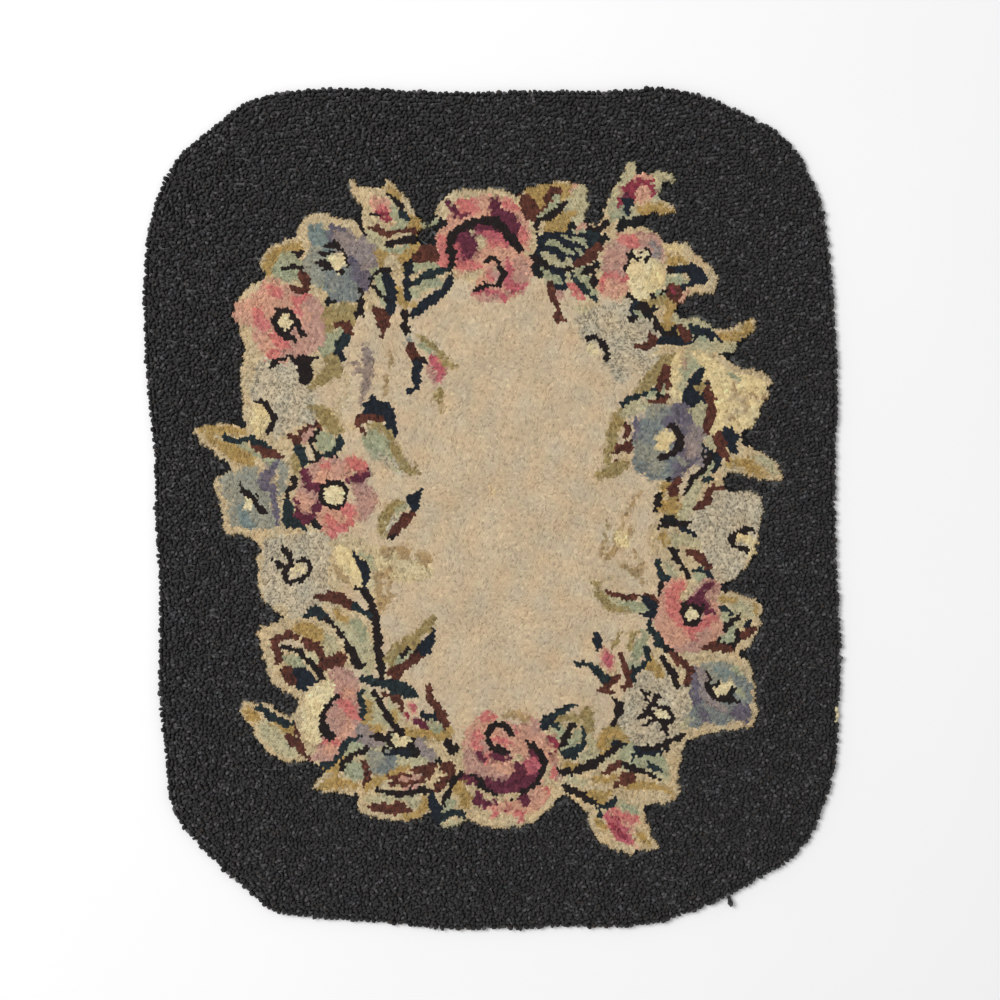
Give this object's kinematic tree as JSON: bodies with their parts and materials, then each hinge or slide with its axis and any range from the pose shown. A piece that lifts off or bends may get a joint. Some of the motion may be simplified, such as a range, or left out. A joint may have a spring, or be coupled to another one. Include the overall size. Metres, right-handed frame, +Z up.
{
  "type": "hooked rug",
  "caption": "Small oblong hooked rug of wool loops on a burlap foundation, with rounded corners, a dark ground, a floral wreath and a cream middle; lies flat, pile up.",
  "frame": {"origin": "on the floor, under the middle of the rug's bounding box", "axes": "+Z up out of the pile, +Y towards the rug's top edge as the picture shows it, +X to the picture's right"},
  "size_m": [0.66, 0.797, 0.0078],
  "materials": {
    "charcoal_wool": "matt looped wool pile"
  },
  "bodies": {
    "root": {"rug": "charcoal_wool"}
  },
  "joints": []
}
